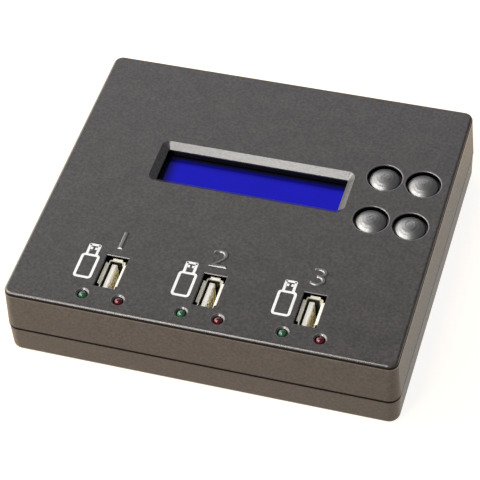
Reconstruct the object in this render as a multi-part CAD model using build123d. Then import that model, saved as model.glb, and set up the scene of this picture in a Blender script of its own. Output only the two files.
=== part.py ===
"""Desktop USB stick duplicator: a two-part moulded case with a sunken display, four domed keys,
three upright sockets in a row and two signal lamps in front of each socket.

Units are millimetres. +X is to the right of someone facing the front, +Y is to the back and +Z is up.
The origin is on the table, under the middle of the case. One STEP file is written for each piece.
"""

import os
from math import atan2, cos, degrees, pi, sin

from build123d import *

# Flat sides that stand for a circle on keys and feet, on lamps, and on hidden posts and screws
KEY_SIDES = 32
LAMP_SIDES = 12
POST_SIDES = 6

# Case
CASE_WIDTH = 138.0
CASE_DEPTH = 122.0
CASE_HEIGHT = 29.6
SEAM_HEIGHT = 11.9
CASE_CORNER_R = 4.2
WALL = 2.0
PLATE = 2.4
FLOOR = 2.0
COVER_DRAFT = 0.95
TRAY_DRAFT = 0.15
TRAY_STEP = 0.15
TOP_EDGE_R = 1.25
TRAY_EDGE_R = 2.1
SEAM_GAP = 0.5
LIP_HEIGHT = 1.4
LIP_WALL = 0.9
LIP_GAP = 0.1

# Feet
FOOT_R = 5.0
FOOT_PROUD = 1.0
FOOT_INSET_X = 21.0
FOOT_INSET_Y = 11.0

# Case screws and their bosses
BOSS_INSET = 7.5
BOSS_R = 3.4
BOSS_RIB = 1.2
TUBE_R = 4.2
SCREW_R = 1.25
SCREW_LENGTH = 14.0
SCREW_HEAD_R = 2.8
SCREW_HEAD_H = 2.0
SCREW_SINK = 6.0
HEAD_GAP = 0.4
PILOT_GAP = 0.05
SHANK_GAP = 0.45

# Main board
BOARD = 1.6
BOARD_GAP = 1.5
NOTCH_GAP = 0.6
POST_R = 3.0
POST_INSET_X = 13.5
POST_FRONT_Y = 31.0
POST_BACK_Y = 21.0
SMALL_SCREW_R = 1.0
SMALL_SCREW_LENGTH = 8.0
SMALL_HEAD_R = 2.2
SMALL_HEAD_H = 1.5
BUTTRESS_R = 2.5
BUTTRESS_OFFSET = 9.0
FLOOR_RIB = 1.2
FLOOR_RIB_H = 3.0
COVER_RIB = 1.2
COVER_RIB_H = 2.5

# Sockets
PORT_COUNT = 3
PORT_PITCH = 34.8
PORT_SETBACK = 18.3
PORT_SLOT_W = 7.8
PORT_SLOT_L = 14.0
PORT_SLOT_BREAK = 0.25
PORT_RECESS = 1.3
PORT_HEIGHT = 13.7
PORT_OPEN_W = 5.12
PORT_OPEN_L = 12.5
PORT_SHEET = 0.3
PORT_CORNER = 0.5
PORT_FLARE = 0.55
PORT_FLARE_END = 0.35
PORT_FLARE_L = 9.6
PORT_FLARE_W = 3.4
PORT_LEG_W = 2.0
TONGUE_T = 1.84
TONGUE_L = 11.1
TONGUE_BACK_GAP = 0.72
TONGUE_RECESS = 1.3
TONGUE_TIP = 0.3
BASE_H = 4.2
BASE_GAP = 0.03
CONTACT_W = 1.0
CONTACT_T = 0.2
CONTACT_SHORT = 1.0
CONTACT_INNER = 1.0
CONTACT_OUTER = 3.5
FINGER_W = 1.8
FINGER_L = 5.0
FINGER_Y = 3.1
FINGER_TOP = 3.0
FINGER_BEND = 0.45
FINGER_SLOT = 0.4
PIN_PROUD = 1.4
HOLE_GAP = 0.2

# Signal lamps
LAMP_SETBACK = 6.9
LAMP_PITCH = 12.7
LAMP_SHIFT = -0.1
LAMP_R = 1.5
LAMP_H = 5.9
LAMP_FLANGE_R = 1.9
LAMP_FLANGE_H = 1.0
LAMP_PROUD = 0.4
LAMP_HOLE_GAP = 0.4
LAMP_HOLE_BREAK = 0.55
LAMP_BANDS = 2
SPACER_R = 2.2

# Keys and their switches
KEY_RIGHT_INSET = 10.75
KEY_BACK_INSET = 39.65
KEY_PITCH_X = 13.75
KEY_PITCH_Y = 20.3
KEY_R = 5.4
KEY_GAP = 0.75
KEY_HOLE_BREAK = 0.35
KEY_DOME = 2.1
KEY_SINK = 1.2
KEY_FLANGE = 1.35
KEY_FLANGE_H = 0.8
KEY_FLANGE_GAP = 0.1
KEY_SHELL = 1.2
KEY_BANDS = 3
KEY_STEM_R = 2.2
KEY_TRAVEL = 0.3
SWITCH_W = 6.0
SWITCH_H = 3.5
SWITCH_TALL = 7.0
SWITCH_CORNER = 0.8
SWITCH_LEG = 0.7
PLUNGER_R = 1.75
PLUNGER_COLLAR_R = 2.3
PLUNGER_COLLAR_H = 0.8
PLUNGER_GAP = 0.1
SWITCH_LID = 0.6

# Display
DISPLAY_TO_KEYS = 45.7
DISPLAY_BACK_INSET = 49.6
WINDOW_MARGIN_X = 0.7
WINDOW_MARGIN_Y = -0.7
WINDOW_CORNER_R = 3.0
WINDOW_BEVEL = 2.5
WINDOW_BEVEL_DEPTH = 1.9
SURROUND_H = 2.2
SURROUND_GAP = 0.2
FRAME_W = 71.2
FRAME_L = 24.2
FRAME_H = 5.5
FRAME_SHEET = 0.4
FRAME_EDGE_X = 3.2
FRAME_EDGE_Y = 3.9
FRAME_TAB_W = 2.4
FRAME_TAB_X = 22.0
GLASS_T = 1.8
GLASS_GAP = 0.3
CARRIER_W = 80.0
CARRIER_L = 36.0
CARRIER_HOLE_INSET = 2.5
DISPLAY_POST_R = 2.4
TINY_SCREW_R = 0.85
TINY_SCREW_LENGTH = 5.0
TINY_HEAD_R = 1.9
TINY_HEAD_H = 1.2
HEADER_PINS = 16
HEADER_PITCH = 2.54
HEADER_INSET_X = 6.7
HEADER_INSET_Y = 2.5
HEADER_W = 2.5

# Power jack
JACK_RIGHT_INSET = 24.0
JACK_W = 9.0
JACK_L = 14.2
JACK_H = 11.0
JACK_AXIS = 6.5
JACK_FACE = 3.5
JACK_SHOULDER = 2.4
JACK_BORE_R = 3.15
JACK_DEPTH = 9.5
JACK_PIN_R = 1.0
JACK_PIN_RECESS = 1.0
JACK_WALL_GAP = 0.3
JACK_HOLE_R = 4.0
JACK_LEAF = 0.3
JACK_LEAF_W = 2.0

# Parts on the main board
CHIP_SIZE = 9.0
CHIP_H = 0.9
CHIP_BREAK = 0.2
CHIP_AT = (0.0, -18.5)
MEMORY_SIZE = 5.2
MEMORY_H = 1.9
MEMORY_LEGS = 4
MEMORY_LEG_PITCH = 1.27
MEMORY_LEG_OUT = 1.2
MEMORY_LEG_W = 0.4
MEMORY_LEG_T = 0.2
MEMORY_AT = (20.0, -18.5)
CRYSTAL_L = 11.0
CRYSTAL_W = 4.6
CRYSTAL_H = 3.5
CRYSTAL_AT = (-17.0, -18.5)
CAN_R = 3.15
CAN_BASE = 6.6
CAN_BASE_H = 1.0
CAN_H = 7.0
CAN_COUNT = 3
CAN_BACK_INSET = 19.0
CAN_X = 12.0
CAN_PITCH = 9.0
COIL_W = 7.0
COIL_H = 4.0
COIL_X = -8.0

# Levels and places worked out from the sizes above
case_bottom = FOOT_PROUD
case_top = case_bottom + CASE_HEIGHT
seam = case_bottom + SEAM_HEIGHT
cover_bottom = seam + SEAM_GAP / 2
tray_top = seam - SEAM_GAP / 2
plate_under = case_top - PLATE
floor_top = case_bottom + FLOOR
board_top = case_top - PORT_RECESS - PORT_HEIGHT
board_under = board_top - BOARD
frame_top = plate_under - SURROUND_H
carrier_top = frame_top - FRAME_H
carrier_under = carrier_top - BOARD
port_y = -CASE_DEPTH / 2 + PORT_SETBACK
port_xs = [(i - (PORT_COUNT - 1) / 2) * PORT_PITCH for i in range(PORT_COUNT)]
lamp_y = -CASE_DEPTH / 2 + LAMP_SETBACK
lamp_top = case_top + LAMP_PROUD
lamp_under = lamp_top - LAMP_H
key_back_y = CASE_DEPTH / 2 - KEY_BACK_INSET
key_left_x = CASE_WIDTH / 2 - KEY_RIGHT_INSET - KEY_PITCH_X
key_spots = [(key_left_x + i * KEY_PITCH_X, key_back_y - j * KEY_PITCH_Y) for j in range(2) for i in range(2)]
display_x = key_left_x - DISPLAY_TO_KEYS
display_y = CASE_DEPTH / 2 - DISPLAY_BACK_INSET
frame_open_w = FRAME_W - 2 * FRAME_EDGE_X
frame_open_l = FRAME_L - 2 * FRAME_EDGE_Y
window_w = frame_open_w + 2 * WINDOW_MARGIN_X
window_l = frame_open_l + 2 * WINDOW_MARGIN_Y
boss_x = CASE_WIDTH / 2 - BOSS_INSET
boss_y = CASE_DEPTH / 2 - BOSS_INSET
boss_spots = [(sx * boss_x, sy * boss_y) for sy in (-1, 1) for sx in (-1, 1)]
post_x = CASE_WIDTH / 2 - POST_INSET_X
post_spots = [
    (sx * post_x, y)
    for y in (-CASE_DEPTH / 2 + POST_FRONT_Y, CASE_DEPTH / 2 - POST_BACK_Y)
    for sx in (-1, 1)
]
carrier_spots = [
    (
        display_x + sx * (CARRIER_W / 2 - CARRIER_HOLE_INSET),
        display_y + sy * (CARRIER_L / 2 - CARRIER_HOLE_INSET),
    )
    for sy in (-1, 1)
    for sx in (-1, 1)
]
foot_x = CASE_WIDTH / 2 - FOOT_INSET_X
foot_y = CASE_DEPTH / 2 - FOOT_INSET_Y
screw_seat = case_bottom + SCREW_SINK
board_width = CASE_WIDTH - 2 * (WALL + BOARD_GAP)
board_depth = CASE_DEPTH - 2 * (WALL + BOARD_GAP)
tongue_top = case_top - PORT_RECESS - TONGUE_RECESS
tongue_left = -PORT_OPEN_W / 2 + TONGUE_BACK_GAP
tongue_right = tongue_left + TONGUE_T
contact_ys = [-CONTACT_OUTER, -CONTACT_INNER, CONTACT_INNER, CONTACT_OUTER]
jack_x = CASE_WIDTH / 2 - JACK_RIGHT_INSET
jack_axis_z = board_top + JACK_AXIS
cover_height = case_top - cover_bottom
cover_taper = degrees(atan2(COVER_DRAFT, cover_height))
back_wall_lean = COVER_DRAFT * (board_top + JACK_H - cover_bottom) / cover_height
jack_front_y = CASE_DEPTH / 2 - back_wall_lean - WALL - JACK_WALL_GAP
plunger_top = board_top + SWITCH_TALL
glass_top = frame_top - FRAME_SHEET
can_y = CASE_DEPTH / 2 - CAN_BACK_INSET
lamp_spots = [
    (x + LAMP_SHIFT + side * LAMP_PITCH / 2, lamp_y)
    for x in port_xs
    for side in (-1, 1)
]


def block(width, depth, low, high, at=(0.0, 0.0)):
    """Upright box, centred on a point of the plan, between two heights."""
    return Pos(at[0], at[1], (low + high) / 2) * Box(width, depth, high - low)


def rod(radius, low, high, at=(0.0, 0.0)):
    """Upright cylinder between two heights."""
    return Pos(at[0], at[1], (low + high) / 2) * Cylinder(radius, high - low)


def prism(radius, low, high, at=(0.0, 0.0), sides=POST_SIDES, spread=0.0):
    """Upright prism with its corners on the radius, wider at the top by the spread."""
    lean = degrees(atan2(spread * cos(pi / sides), high - low))
    return Pos(at[0], at[1], low) * extrude(RegularPolygon(radius, sides), high - low, taper=-lean)


def prisms(radius, low, high, spots):
    """One upright prism at each spot."""
    return [prism(radius, low, high, spot) for spot in spots]


def flare(radius, spread, low, high, at=(0.0, 0.0)):
    """Upright cone frustum that is wider at the top by the spread."""
    return Pos(at[0], at[1], (low + high) / 2) * Cone(radius, radius + spread, high - low)


def cut_slab(width, depth, cut, low, high, at=(0.0, 0.0)):
    """Upright box with its four upright edges cut off."""
    slab = block(width, depth, low, high, at)
    return chamfer(slab.edges().filter_by(Axis.Z), cut)


def dome(radius, height, low, at, sides, bands):
    """Domed top of a prism: sloping bands with their rims on one sphere, and a small flat on top."""
    ball_r = (radius**2 + height**2) / (2 * height)
    step = 2 * atan2(height, radius) / (bands + 0.5)
    angles = [step * (bands + 0.5 - i) for i in range(bands + 1)]
    rims = [(ball_r * sin(angle), low + height - ball_r * (1 - cos(angle))) for angle in angles]
    return [prism(r0, z0, z1, at, sides, r1 - r0) for (r0, z0), (r1, z1) in zip(rims, rims[1:])]


def rounded_slab(width, depth, radius, low, high, taper=0.0):
    """Rounded rectangle drawn at the low height and pulled to the high one, narrowing by the taper."""
    return extrude(Pos(0, 0, low) * RectangleRounded(width, depth, radius), high - low, taper=taper)


def side_prism(points, width, at_y=0.0):
    """Profile in the XZ plane, drawn out along Y by the width and centred on at_y."""
    face = make_face(Polyline(*[(x, 0, z) for x, z in points], close=True))
    return Pos(0, at_y + width / 2, 0) * extrude(face, width, dir=(0, -1, 0))


def screw(radius, length, head_r, head_h, seat, at):
    """Plain screw that points up, with its head under the seat height."""
    return prism(radius, seat, seat + length, at) + prism(head_r, seat - head_h, seat, at)


def screw_set(radius, length, head_r, head_h, seat, spots):
    """Group of like screws, each a solid of its own."""
    return Compound([screw(radius, length, head_r, head_h, seat, spot) for spot in spots])


def boss_gussets(low, high):
    """Thin ribs that tie each corner boss to the two walls beside it."""
    reach = BOSS_INSET - WALL / 2
    ribs = []
    for x, y in boss_spots:
        sx = 1 if x > 0 else -1
        sy = 1 if y > 0 else -1
        ribs.append(block(reach, BOSS_RIB, low, high, (x + sx * reach / 2, y)))
        ribs.append(block(BOSS_RIB, reach, low, high, (x, y + sy * reach / 2)))
    return ribs


def top_cover():
    """Upper shell: drafted walls, sunken window, key holes, socket slots, lamp holes and inner posts."""
    cover = rounded_slab(CASE_WIDTH, CASE_DEPTH, CASE_CORNER_R, cover_bottom, case_top, cover_taper)
    outer = fillet(cover.faces().sort_by(Axis.Z)[-1].edges(), TOP_EDGE_R)
    inner_w = CASE_WIDTH - 2 * WALL
    inner_d = CASE_DEPTH - 2 * WALL
    inner_r = CASE_CORNER_R - WALL
    cover = outer - rounded_slab(inner_w, inner_d, inner_r, cover_bottom, plate_under, cover_taper)
    rebate = LIP_WALL + LIP_GAP
    rebate_top = seam + LIP_HEIGHT + LIP_GAP
    cover -= rounded_slab(inner_w + 2 * rebate, inner_d + 2 * rebate, inner_r + rebate, cover_bottom, rebate_top)
    cover += prisms(BOSS_R, cover_bottom, plate_under, boss_spots)
    cover += [rib & outer for rib in boss_gussets(rebate_top + LIP_GAP, plate_under)]
    cover += prisms(POST_R, board_top, plate_under, post_spots)
    cover += prisms(DISPLAY_POST_R, carrier_top, plate_under, carrier_spots)
    rib_under = plate_under - COVER_RIB_H
    for x, y in post_spots[::2]:
        cover += block(CASE_WIDTH, COVER_RIB, rib_under, plate_under, (0, y)) & outer
    pilot_top = screw_seat + SCREW_LENGTH + PILOT_GAP
    cover -= prisms(SCREW_R + PILOT_GAP, cover_bottom, pilot_top, boss_spots)
    pilot_top = board_under + SMALL_SCREW_LENGTH + PILOT_GAP
    cover -= prisms(SMALL_SCREW_R + PILOT_GAP, board_top, pilot_top, post_spots)
    pilot_top = carrier_under + TINY_SCREW_LENGTH + PILOT_GAP
    cover -= prisms(TINY_SCREW_R + PILOT_GAP, carrier_top, pilot_top, carrier_spots)
    cover -= window_cut()
    for spot in key_spots:
        cover -= rod(KEY_R + KEY_GAP, plate_under, case_top, spot)
        cover -= flare(KEY_R + KEY_GAP, KEY_HOLE_BREAK, case_top - KEY_HOLE_BREAK, case_top, spot)
    for spot in lamp_spots:
        hole_r = LAMP_R + LAMP_HOLE_GAP
        cover -= prism(hole_r, plate_under, case_top, spot, LAMP_SIDES)
        cover -= prism(hole_r, case_top - LAMP_HOLE_BREAK, case_top, spot, LAMP_SIDES, LAMP_HOLE_BREAK)
    for x in port_xs:
        cover -= port_slot_cut((x, port_y))
    jack_hole = Pos(jack_x, CASE_DEPTH / 2, jack_axis_z) * Rot(90, 0, 0)
    cover -= jack_hole * Cylinder(JACK_HOLE_R, 2 * (WALL + COVER_DRAFT + JACK_WALL_GAP))
    return cover


def window_cut():
    """Space of the display window: a bevelled mouth above a straight opening."""
    mouth_w = window_w + 2 * WINDOW_BEVEL
    mouth_l = window_l + 2 * WINDOW_BEVEL
    mouth = Pos(0, 0, case_top) * RectangleRounded(mouth_w, mouth_l, WINDOW_CORNER_R)
    slope = degrees(atan2(WINDOW_BEVEL, WINDOW_BEVEL_DEPTH))
    bevel = extrude(mouth, WINDOW_BEVEL_DEPTH, dir=(0, 0, -1), taper=slope)
    straight = rounded_slab(window_w, window_l, WINDOW_CORNER_R - WINDOW_BEVEL, plate_under, case_top)
    return at_display(bevel + straight)


def port_slot_cut(at):
    """Slot in the top plate over one socket, with a small break round its upper edge."""
    slot = block(PORT_SLOT_W, PORT_SLOT_L, plate_under, case_top, at)
    mouth = Rectangle(PORT_SLOT_W + 2 * PORT_SLOT_BREAK, PORT_SLOT_L + 2 * PORT_SLOT_BREAK)
    edge = extrude(Pos(at[0], at[1], case_top) * mouth, PORT_SLOT_BREAK, dir=(0, 0, -1), taper=45)
    return slot + edge


def bottom_cover():
    """Lower tray: rounded bottom edge, locating lip, screw tubes, board buttresses and floor ribs."""
    width = CASE_WIDTH - 2 * TRAY_STEP
    depth = CASE_DEPTH - 2 * TRAY_STEP
    radius = CASE_CORNER_R - TRAY_STEP
    height = tray_top - case_bottom
    rim = Pos(0, 0, tray_top) * RectangleRounded(width, depth, radius)
    tray = extrude(rim, height, dir=(0, 0, -1), taper=degrees(atan2(TRAY_DRAFT, height)))
    tray = fillet(tray.faces().sort_by(Axis.Z)[0].edges(), TRAY_EDGE_R)
    inner_w = CASE_WIDTH - 2 * WALL
    inner_d = CASE_DEPTH - 2 * WALL
    inner_r = CASE_CORNER_R - WALL
    lip_r = inner_r + LIP_WALL
    lip_top = seam + LIP_HEIGHT
    tray += rounded_slab(inner_w + 2 * LIP_WALL, inner_d + 2 * LIP_WALL, lip_r, tray_top, lip_top)
    tray -= rounded_slab(inner_w, inner_d, inner_r, floor_top, lip_top)
    tray += prisms(TUBE_R, case_bottom + FLOOR / 2, cover_bottom, boss_spots)
    for x in port_xs:
        spots = [(x - BUTTRESS_OFFSET, port_y), (x + BUTTRESS_OFFSET, port_y)]
        tray += prisms(BUTTRESS_R, case_bottom + FLOOR / 2, board_under, spots)
    rib_top = floor_top + FLOOR_RIB_H
    for sx in (-1, 0, 1):
        tray += block(FLOOR_RIB, inner_d, case_bottom + FLOOR / 2, rib_top, (sx * foot_x * 0.7, 0))
    for sy in (-1, 1):
        tray += block(inner_w, FLOOR_RIB, case_bottom + FLOOR / 2, rib_top, (0, sy * foot_y * 0.5))
    tray -= prisms(SCREW_HEAD_R + HEAD_GAP, case_bottom, screw_seat, boss_spots)
    tray -= prisms(SCREW_R + SHANK_GAP, screw_seat, cover_bottom, boss_spots)
    return tray


def foot(at):
    """Round rubber foot, glued under the tray."""
    return prism(FOOT_R, 0, case_bottom, at, KEY_SIDES)


def main_board():
    """Printed circuit board, cut away round the case bosses, with its screw holes and socket slots."""
    board = block(board_width, board_depth, board_under, board_top)
    notch_x = board_width / 2 - boss_x + TUBE_R + NOTCH_GAP
    notch_y = board_depth / 2 - boss_y + TUBE_R + NOTCH_GAP
    for sx in (-1, 1):
        for sy in (-1, 1):
            at = (sx * (board_width - notch_x) / 2, sy * (board_depth - notch_y) / 2)
            board -= block(notch_x, notch_y, board_under, board_top, at)
    board -= prisms(SMALL_SCREW_R + HOLE_GAP, board_under, board_top, post_spots)
    leg_y = (PORT_OPEN_L + PORT_SHEET) / 2
    for x in port_xs:
        for sy in (-1, 1):
            slot_at = (x, port_y + sy * leg_y)
            board -= block(PORT_LEG_W + 2 * HOLE_GAP, PORT_SHEET + 2 * HOLE_GAP, board_under, board_top, slot_at)
    return board


def flared_lip(inside, low, high, flare_out, width):
    """Strip of sheet that leans outwards from the top of a socket wall on the +X side."""
    profile = [
        (inside, low),
        (inside + PORT_SHEET, low),
        (inside + PORT_SHEET + flare_out, high),
        (inside + flare_out, high),
    ]
    return side_prism(profile, width)


def usb_shell(x):
    """Folded steel shell of one socket: rectangular tube, flared lips, sprung fingers and solder legs."""
    outer_w = PORT_OPEN_W + 2 * PORT_SHEET
    outer_l = PORT_OPEN_L + 2 * PORT_SHEET
    mouth = board_top + PORT_HEIGHT
    tube_top = mouth - PORT_FLARE
    tube = cut_slab(outer_w, outer_l, PORT_CORNER, board_top, tube_top)
    tube -= cut_slab(PORT_OPEN_W, PORT_OPEN_L, PORT_CORNER - PORT_SHEET / 2, board_top, tube_top)
    half_w = PORT_OPEN_W / 2
    half_l = PORT_OPEN_L / 2
    side_lip = flared_lip(half_w, tube_top, mouth, PORT_FLARE, PORT_FLARE_L)
    end_lip = Rot(0, 0, 90) * flared_lip(half_l, tube_top, mouth, PORT_FLARE_END, PORT_FLARE_W)
    finger_root = mouth - FINGER_TOP
    window = block(4 * PORT_SHEET, FINGER_W + 2 * FINGER_SLOT, finger_root - FINGER_L, finger_root)
    finger = [
        (half_w, finger_root + PORT_SHEET),
        (half_w + PORT_SHEET, finger_root + PORT_SHEET),
        (half_w + PORT_SHEET, finger_root),
        (half_w + PORT_SHEET - FINGER_BEND, finger_root - FINGER_L * 0.8),
        (half_w + PORT_SHEET, finger_root - FINGER_L + FINGER_SLOT),
        (half_w, finger_root - FINGER_L + FINGER_SLOT),
        (half_w - FINGER_BEND, finger_root - FINGER_L * 0.8),
        (half_w, finger_root),
    ]
    leg = block(PORT_LEG_W, PORT_SHEET, board_under - PIN_PROUD, board_top + PORT_SHEET)
    for turn in (0, 180):
        spin = Rot(0, 0, turn)
        for side in (-1, 1):
            wall_x = half_w + PORT_SHEET / 2
            tube -= spin * Pos(wall_x, side * FINGER_Y, 0) * window
            tube += spin * side_prism(finger, FINGER_W, side * FINGER_Y)
        tube += spin * side_lip
        tube += spin * end_lip
        tube += spin * Pos(0, half_l + PORT_SHEET / 2, 0) * leg
    return Pos(x, port_y, 0) * tube


def usb_insulator(x):
    """Moulded block in the foot of one socket, with the tongue that carries the contacts."""
    base_w = PORT_OPEN_W - 2 * BASE_GAP
    base_l = PORT_OPEN_L - 2 * BASE_GAP
    base = cut_slab(base_w, base_l, PORT_CORNER - PORT_SHEET / 2, board_top, board_top + BASE_H)
    tongue_x = (tongue_left + tongue_right) / 2
    tongue = block(TONGUE_T, TONGUE_L, board_top + BASE_H, tongue_top, (tongue_x, 0))
    tongue = chamfer(tongue.faces().sort_by(Axis.Z)[-1].edges(), TONGUE_TIP)
    body = base + tongue
    for y in contact_ys:
        channel_w = CONTACT_W + 2 * BASE_GAP
        channel_t = CONTACT_T + BASE_GAP
        at = (tongue_right + channel_t / 2, y)
        body -= block(channel_t, channel_w, board_top, board_top + BASE_H, at)
    return Pos(x, port_y, 0) * body


def usb_contacts(x):
    """The four contact blades of one socket, from the board up to their tips on the tongue."""
    blades = []
    for y in contact_ys:
        short = CONTACT_SHORT if abs(y) == CONTACT_INNER else 0.0
        tip = tongue_top - CONTACT_SHORT - short
        blade = block(CONTACT_T, CONTACT_W, board_top, tip, (tongue_right + CONTACT_T / 2, y))
        blades.append(Pos(x, port_y, 0) * blade)
    return Compound(blades)


def lamp(at):
    """Signal lamp: a clear round-nosed body on a short flange."""
    body = prism(LAMP_R, lamp_under, lamp_top - LAMP_R, at, LAMP_SIDES)
    body += prism(LAMP_FLANGE_R, lamp_under, lamp_under + LAMP_FLANGE_H, at, LAMP_SIDES)
    return body + dome(LAMP_R, LAMP_R, lamp_top - LAMP_R, at, LAMP_SIDES, LAMP_BANDS)


def lamp_spacer(at):
    """Plastic stand that holds one lamp up off the board."""
    return prism(SPACER_R, board_top, lamp_under, at)


def key_cap(at):
    """Domed key: a hollow cap with a flange under the plate and a stem that stands on the switch."""
    rim = case_top - KEY_SINK
    flange_top = plate_under - KEY_FLANGE_GAP
    flange_under = flange_top - KEY_FLANGE_H
    cap = prism(KEY_R, flange_under, rim, at, KEY_SIDES) + dome(KEY_R, KEY_DOME, rim, at, KEY_SIDES, KEY_BANDS)
    cap += prism(KEY_R + KEY_FLANGE, flange_under, flange_top, at, LAMP_SIDES)
    cap -= prism(KEY_R - KEY_SHELL, flange_under, rim, at, LAMP_SIDES)
    return cap + prism(KEY_STEM_R, plunger_top, rim + KEY_SHELL / 2, at)


def switch_body(at):
    """Square switch housing with cut corners, a well for the plunger and four flat legs."""
    body = cut_slab(SWITCH_W, SWITCH_W, SWITCH_CORNER, board_top, board_top + SWITCH_H)
    well_floor = board_top + SWITCH_H - SWITCH_LID - PLUNGER_COLLAR_H - 2 * KEY_TRAVEL
    body -= prism(PLUNGER_COLLAR_R + PLUNGER_GAP, well_floor, board_top + SWITCH_H - SWITCH_LID)
    body -= prism(PLUNGER_R + PLUNGER_GAP, well_floor, board_top + SWITCH_H)
    for sx in (-1, 1):
        for sy in (-1, 1):
            leg_x = sx * (SWITCH_W / 2 + SWITCH_LEG / 2)
            leg_y = sy * (SWITCH_W / 2 - SWITCH_CORNER - SWITCH_LEG)
            body += block(SWITCH_LEG, SWITCH_LEG, board_top, board_top + SWITCH_LEG / 3, (leg_x, leg_y))
    return Pos(at[0], at[1], 0) * body


def switch_plunger(at):
    """Plunger with a collar that keeps it in the switch."""
    collar_top = board_top + SWITCH_H - SWITCH_LID - PLUNGER_GAP
    stem = prism(PLUNGER_R, collar_top - PLUNGER_COLLAR_H, plunger_top, at)
    return stem + prism(PLUNGER_COLLAR_R, collar_top - PLUNGER_COLLAR_H, collar_top, at)


def at_display(shape):
    """Moves a shape drawn about the middle of the display to its place."""
    return Pos(display_x, display_y, 0) * shape


def display_surround():
    """Stiff black frame that fills the space between the top plate and the display's metal frame."""
    ring = block(FRAME_W, FRAME_L, frame_top, plate_under)
    ring -= block(window_w + 2 * SURROUND_GAP, window_l + 2 * SURROUND_GAP, frame_top, plate_under)
    return at_display(ring)


def display_frame():
    """Pressed metal frame with a window, four sides and tabs that grip the carrier board."""
    shell = block(FRAME_W, FRAME_L, carrier_top, frame_top)
    shell -= block(FRAME_W - 2 * FRAME_SHEET, FRAME_L - 2 * FRAME_SHEET, carrier_top, glass_top)
    shell -= block(frame_open_w, frame_open_l, glass_top, frame_top)
    for sx in (-1, 0, 1):
        for sy in (-1, 1):
            at = (sx * FRAME_TAB_X, sy * (FRAME_L - FRAME_SHEET) / 2)
            shell += block(FRAME_TAB_W, FRAME_SHEET, carrier_under - FRAME_SHEET, carrier_top, at)
    return at_display(shell)


def display_glass():
    """Liquid-crystal cell, held up against the frame's window."""
    inside_w = FRAME_W - 2 * FRAME_SHEET - 2 * GLASS_GAP
    inside_l = FRAME_L - 2 * FRAME_SHEET - 2 * GLASS_GAP
    return at_display(block(inside_w, inside_l, glass_top - GLASS_T, glass_top))


def display_backlight():
    """White light guide between the glass and the carrier board."""
    inside_w = FRAME_W - 2 * FRAME_SHEET - 2 * GLASS_GAP
    inside_l = FRAME_L - 2 * FRAME_SHEET - 2 * GLASS_GAP
    return at_display(block(inside_w, inside_l, carrier_top, glass_top - GLASS_T))


def display_board():
    """Carrier board of the display, with corner holes and slots for the frame's tabs."""
    board = at_display(block(CARRIER_W, CARRIER_L, carrier_under, carrier_top))
    board -= prisms(TINY_SCREW_R + HOLE_GAP, carrier_under, carrier_top, carrier_spots)
    slot_w = FRAME_TAB_W + 2 * HOLE_GAP
    slot_l = FRAME_SHEET + 2 * HOLE_GAP
    for sx in (-1, 0, 1):
        for sy in (-1, 1):
            at = (display_x + sx * FRAME_TAB_X, display_y + sy * (FRAME_L - FRAME_SHEET) / 2)
            board -= block(slot_w, slot_l, carrier_under, carrier_top, at)
    return board


def display_header():
    """Plastic strip of the pin row between the two boards."""
    length = HEADER_PINS * HEADER_PITCH
    left = -CARRIER_W / 2 + HEADER_INSET_X
    at = (left + length / 2, CARRIER_L / 2 - HEADER_INSET_Y)
    return at_display(block(length, HEADER_W, board_top, carrier_under, at))


def power_jack_housing():
    """Jack moulding: a square face, a body with sloping shoulders behind it and the bore for the plug."""
    body = block(JACK_W, JACK_L, board_top, board_top + JACK_H, (0, -JACK_L / 2))
    body = chamfer(body.faces().sort_by(Axis.Z)[-1].edges().filter_by(Axis.Y), JACK_SHOULDER)
    body += block(JACK_W, JACK_FACE, board_top, board_top + JACK_H, (0, -JACK_FACE / 2))
    lay = Pos(0, 0, jack_axis_z) * Rot(90, 0, 0)
    body -= lay * Pos(0, 0, JACK_DEPTH / 2) * Cylinder(JACK_BORE_R, JACK_DEPTH)
    pin_space = 2 * (JACK_PIN_R + BASE_GAP)
    pin_low = jack_axis_z - pin_space / 2
    body -= block(pin_space, JACK_L, pin_low, pin_low + pin_space, (0, -JACK_L / 2))
    leaf_groove = JACK_LEAF_W + 2 * BASE_GAP
    groove_low = jack_axis_z - JACK_BORE_R - 2 * JACK_LEAF - BASE_GAP
    groove_l = JACK_DEPTH - JACK_PIN_RECESS
    body -= block(leaf_groove, groove_l, groove_low, jack_axis_z, (0, -JACK_PIN_RECESS - groove_l / 2))
    return Pos(jack_x, jack_front_y, 0) * body


def power_jack_pin():
    """Centre pin of the jack, with a flat leg down to the board."""
    lay = Pos(0, 0, jack_axis_z) * Rot(90, 0, 0)
    pin = lay * prism(JACK_PIN_R, JACK_PIN_RECESS, JACK_L, sides=LAMP_SIDES)
    tail_y = -JACK_L - JACK_LEAF / 2
    tail = block(JACK_LEAF_W, JACK_LEAF, board_top, jack_axis_z + JACK_PIN_R, (0, tail_y))
    return Pos(jack_x, jack_front_y, 0) * (pin + tail)


def power_jack_spring():
    """Leaf under the bore that presses on the plug's sleeve."""
    low = jack_axis_z - JACK_BORE_R - 2 * JACK_LEAF
    start = -JACK_PIN_RECESS - BASE_GAP
    end = -JACK_DEPTH + BASE_GAP
    middle = (start + end) / 2
    points = [
        (start, low),
        (start, low + JACK_LEAF),
        (middle, low + 2.5 * JACK_LEAF),
        (end, low + JACK_LEAF),
        (end, low),
    ]
    leaf = Rot(0, 0, 90) * side_prism(points, JACK_LEAF_W)
    return Pos(jack_x, jack_front_y, 0) * leaf


def chip_body(size, height):
    """Moulded body of a chip, standing on the board, with its top edges broken."""
    body = block(size, size, board_top, board_top + height)
    return chamfer(body.faces().sort_by(Axis.Z)[-1].edges(), CHIP_BREAK)


def controller_chip():
    """Leadless chip that runs the copying."""
    return Pos(CHIP_AT[0], CHIP_AT[1], 0) * chip_body(CHIP_SIZE, CHIP_H)


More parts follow.
